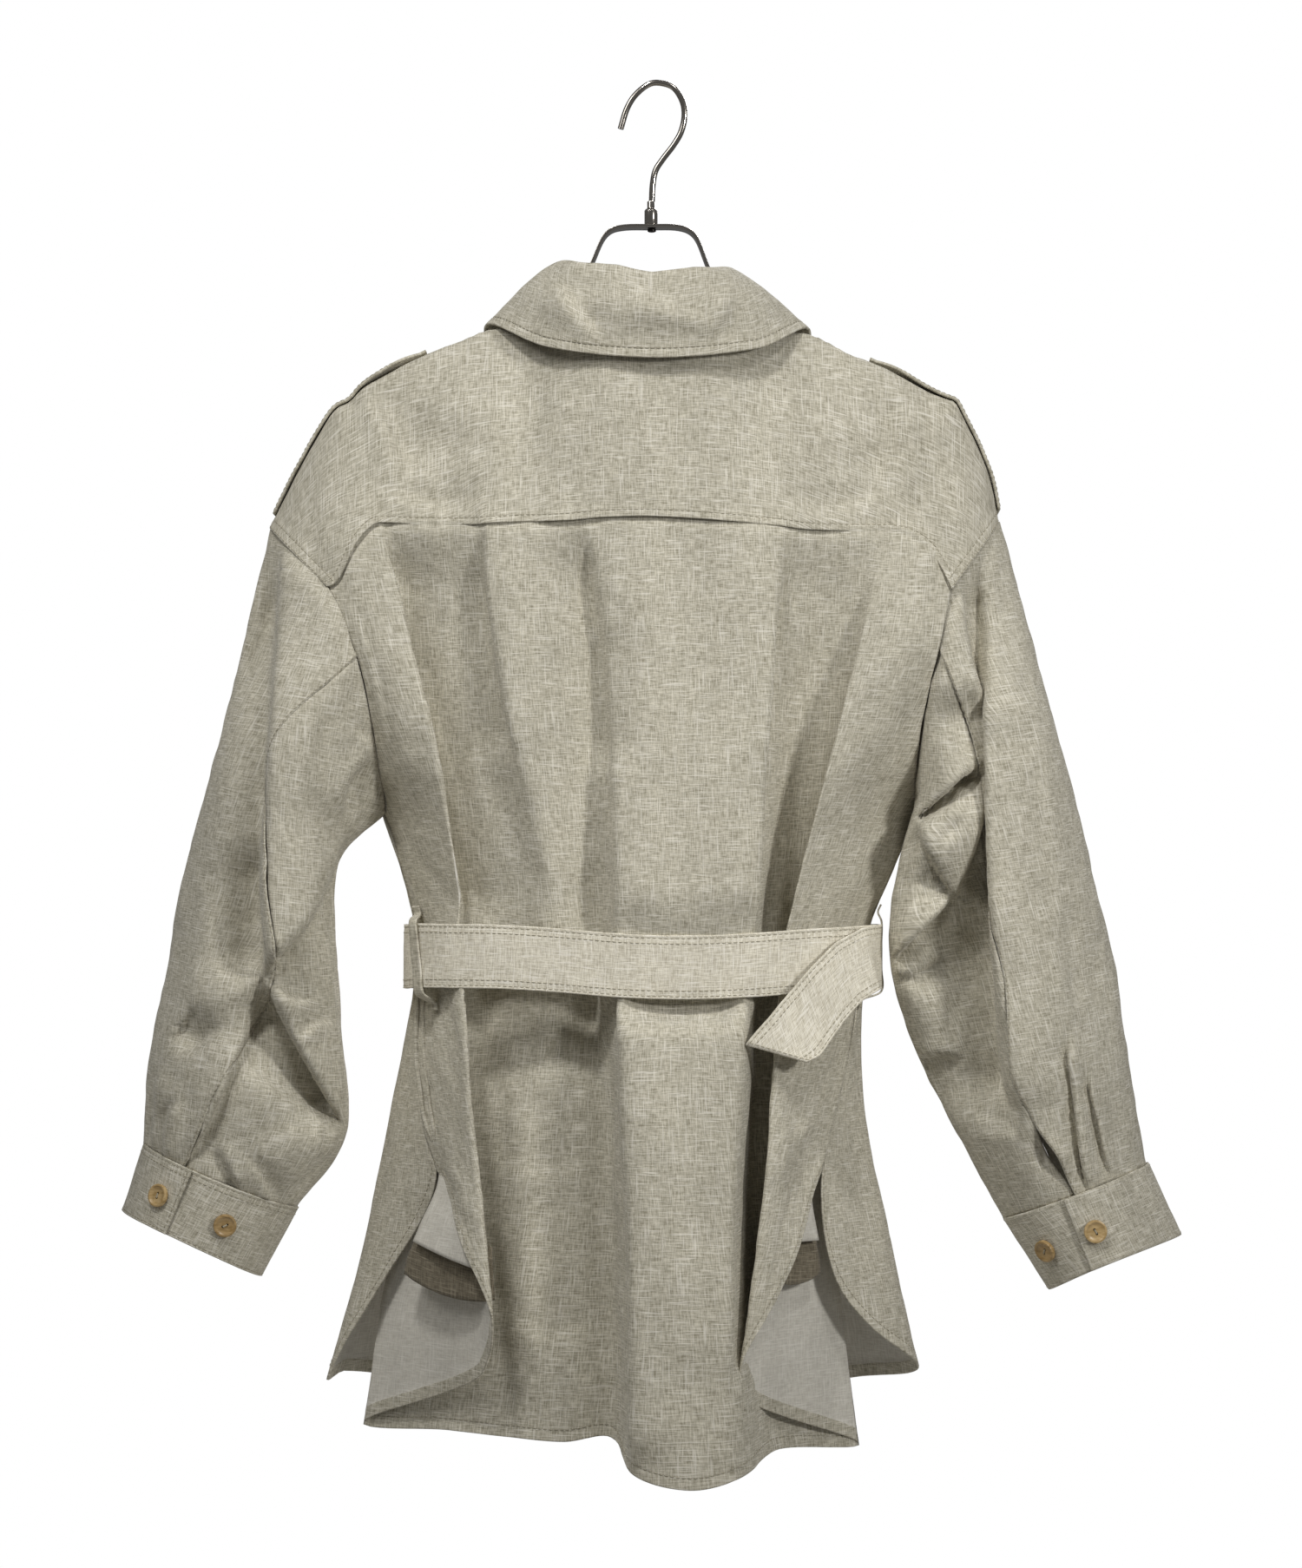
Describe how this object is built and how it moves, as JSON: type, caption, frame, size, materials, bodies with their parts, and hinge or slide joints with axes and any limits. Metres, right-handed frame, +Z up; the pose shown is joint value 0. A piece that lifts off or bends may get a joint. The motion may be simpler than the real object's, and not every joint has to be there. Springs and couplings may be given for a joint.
{
  "type": "cpo jacket on a hanger",
  "caption": "Belted beige linen-look shirt jacket with shoulder straps, buttoned cuffs and slit sides, hanging on a metal hanger with a rail hook.",
  "frame": {"origin": "inner top of the hanger hook's crook, where the rail sits", "axes": "+Z up, -Y out of the jacket's back, +X towards the wearer's right"},
  "size_m": [0.6977, 0.1905, 0.906],
  "materials": {
    "linen": "matte plain weave, heathered beige",
    "linen_belt": "matte plain weave, paler beige",
    "pocket_cloth": "matte plain weave, off-white",
    "horn": "satin, horn-like brown",
    "nickel": "polished nickel"
  },
  "bodies": {
    "root": {"back_body": "linen", "yoke": "linen", "front_left": "linen", "front_right": "linen", "sleeve_top_left": "linen", "sleeve_top_right": "linen", "sleeve_under_left": "linen", "sleeve_under_right": "linen", "cuff_left": "linen", "cuff_right": "linen", "belt_loop_left": "linen", "belt_loop_right": "linen", "epaulette_left": "linen", "epaulette_right": "linen", "collar_stand": "linen", "collar_fall": "linen", "placket": "linen", "belt": "linen_belt", "pocket_bag_left": "pocket_cloth", "pocket_bag_right": "pocket_cloth", "button_epaulette_left": "horn", "button_epaulette_right": "horn", "button_front_1": "horn", "button_front_2": "horn", "button_front_3": "horn", "button_front_4": "horn", "button_front_5": "horn", "button_front_6": "horn", "button_cuff_left_1": "horn", "button_cuff_left_2": "horn", "button_cuff_right_1": "horn", "button_cuff_right_2": "horn", "hanger_hook": "nickel", "hanger_ferrule": "nickel", "hanger_arch": "nickel", "hanger_arm_left": "nickel", "hanger_arm_right": "nickel"}
  },
  "joints": []
}
